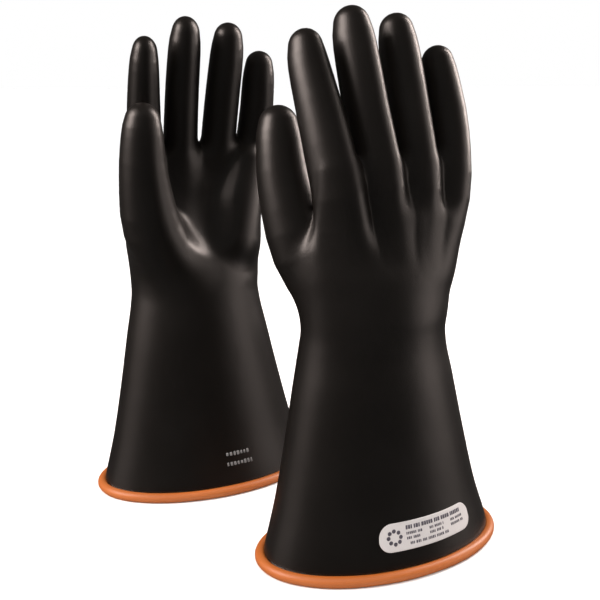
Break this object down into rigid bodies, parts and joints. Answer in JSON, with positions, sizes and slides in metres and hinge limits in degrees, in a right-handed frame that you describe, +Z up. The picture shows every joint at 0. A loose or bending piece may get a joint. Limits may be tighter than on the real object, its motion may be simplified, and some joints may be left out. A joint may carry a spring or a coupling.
{
  "type": "electrical insulating gloves",
  "caption": "Pair of long-cuffed insulating rubber gloves standing on their cuffs, black outer ply over an orange inner ply, with a rolled orange cuff bead and a pill-shaped label.",
  "frame": {"origin": "middle of the pair, on the surface that the two cuffs stand on", "axes": "+Z up along the gloves from cuff to fingertips, +X along the palms' width away from the thumbs, +Y from the right-hand glove's back to its palm, towards the left-hand glove"},
  "size_m": [0.2262, 0.2916, 0.3559],
  "materials": {
    "outer_rubber": "satin black dipped natural rubber with soft broad highlights",
    "inner_rubber": "matt orange dipped natural rubber, lightly powdered",
    "bead_rubber": "satin orange rubber, rolled",
    "label_face": "off-white moulded-on label with dark print"
  },
  "bodies": {
    "left_gauntlet": {"left_gauntlet_skin": "outer_rubber", "left_gauntlet_liner": "inner_rubber", "left_cuff_bead": "bead_rubber", "left_class_label": "label_face"},
    "left_hand": {"left_hand_skin": "outer_rubber", "left_hand_liner": "inner_rubber"},
    "left_thumb": {"left_thumb_skin": "outer_rubber", "left_thumb_liner": "inner_rubber"},
    "left_index": {"left_index_skin": "outer_rubber", "left_index_liner": "inner_rubber"},
    "left_middle": {"left_middle_skin": "outer_rubber", "left_middle_liner": "inner_rubber"},
    "left_ring": {"left_ring_skin": "outer_rubber", "left_ring_liner": "inner_rubber"},
    "left_little": {"left_little_skin": "outer_rubber", "left_little_liner": "inner_rubber"},
    "right_gauntlet": {"right_gauntlet_skin": "outer_rubber", "right_gauntlet_liner": "inner_rubber", "right_cuff_bead": "bead_rubber", "right_class_label": "label_face"},
    "right_hand": {"right_hand_skin": "outer_rubber", "right_hand_liner": "inner_rubber"},
    "right_thumb": {"right_thumb_skin": "outer_rubber", "right_thumb_liner": "inner_rubber"},
    "right_index": {"right_index_skin": "outer_rubber", "right_index_liner": "inner_rubber"},
    "right_middle": {"right_middle_skin": "outer_rubber", "right_middle_liner": "inner_rubber"},
    "right_ring": {"right_ring_skin": "outer_rubber", "right_ring_liner": "inner_rubber"},
    "right_little": {"right_little_skin": "outer_rubber", "right_little_liner": "inner_rubber"}
  },
  "joints": [
    {"name": "left_wrist_flex", "type": "hinge", "parent": "left_gauntlet", "child": "left_hand", "pos_m": [-0.0305, 0.088, 0.15], "axis": [1, 0, 0], "range_deg": [-30, 30], "stiffness_Nm_per_rad": 3},
    {"name": "left_thumb_flex", "type": "hinge", "parent": "left_hand", "child": "left_thumb", "pos_m": [-0.0801, 0.06208, 0.238], "axis": [1, 0, 0], "range_deg": [-5, 30], "stiffness_Nm_per_rad": 0.3},
    {"name": "left_index_flex", "type": "hinge", "parent": "left_hand", "child": "left_index", "pos_m": [-0.06927, 0.09192, 0.283], "axis": [1, 0, 0], "range_deg": [-10, 18], "stiffness_Nm_per_rad": 0.3},
    {"name": "left_middle_flex", "type": "hinge", "parent": "left_hand", "child": "left_middle", "pos_m": [-0.03784, 0.09471, 0.28338], "axis": [1, 0, 0], "range_deg": [-10, 70], "stiffness_Nm_per_rad": 0.3},
    {"name": "left_ring_flex", "type": "hinge", "parent": "left_hand", "child": "left_ring", "pos_m": [-0.0055, 0.09317, 0.28298], "axis": [1, 0, 0], "range_deg": [-10, 70], "stiffness_Nm_per_rad": 0.3},
    {"name": "left_little_flex", "type": "hinge", "parent": "left_hand", "child": "left_little", "pos_m": [0.0225, 0.0908, 0.28181], "axis": [1, 0, 0], "range_deg": [-10, 70], "stiffness_Nm_per_rad": 0.3},
    {"name": "right_wrist_flex", "type": "hinge", "parent": "right_gauntlet", "child": "right_hand", "pos_m": [0.0165, -0.088, 0.15], "axis": [1, 0, 0], "range_deg": [-30, 30], "stiffness_Nm_per_rad": 3},
    {"name": "right_thumb_flex", "type": "hinge", "parent": "right_hand", "child": "right_thumb", "pos_m": [-0.0331, -0.06208, 0.238], "axis": [-1, 0, 0], "range_deg": [-5, 30], "stiffness_Nm_per_rad": 0.3},
    {"name": "right_index_flex", "type": "hinge", "parent": "right_hand", "child": "right_index", "pos_m": [-0.02227, -0.09192, 0.283], "axis": [-1, 0, 0], "range_deg": [-10, 18], "stiffness_Nm_per_rad": 0.3},
    {"name": "right_middle_flex", "type": "hinge", "parent": "right_hand", "child": "right_middle", "pos_m": [0.00916, -0.09471, 0.28338], "axis": [-1, 0, 0], "range_deg": [-10, 70], "stiffness_Nm_per_rad": 0.3},
    {"name": "right_ring_flex", "type": "hinge", "parent": "right_hand", "child": "right_ring", "pos_m": [0.0415, -0.09317, 0.28298], "axis": [-1, 0, 0], "range_deg": [-10, 70], "stiffness_Nm_per_rad": 0.3},
    {"name": "right_little_flex", "type": "hinge", "parent": "right_hand", "child": "right_little", "pos_m": [0.0695, -0.0908, 0.28181], "axis": [-1, 0, 0], "range_deg": [-10, 70], "stiffness_Nm_per_rad": 0.3},
    {"name": "right_glove_lift", "type": "slide", "parent": "left_gauntlet", "child": "right_gauntlet", "axis": [0, 0, 1], "range_m": [0, 0.4]}
  ]
}
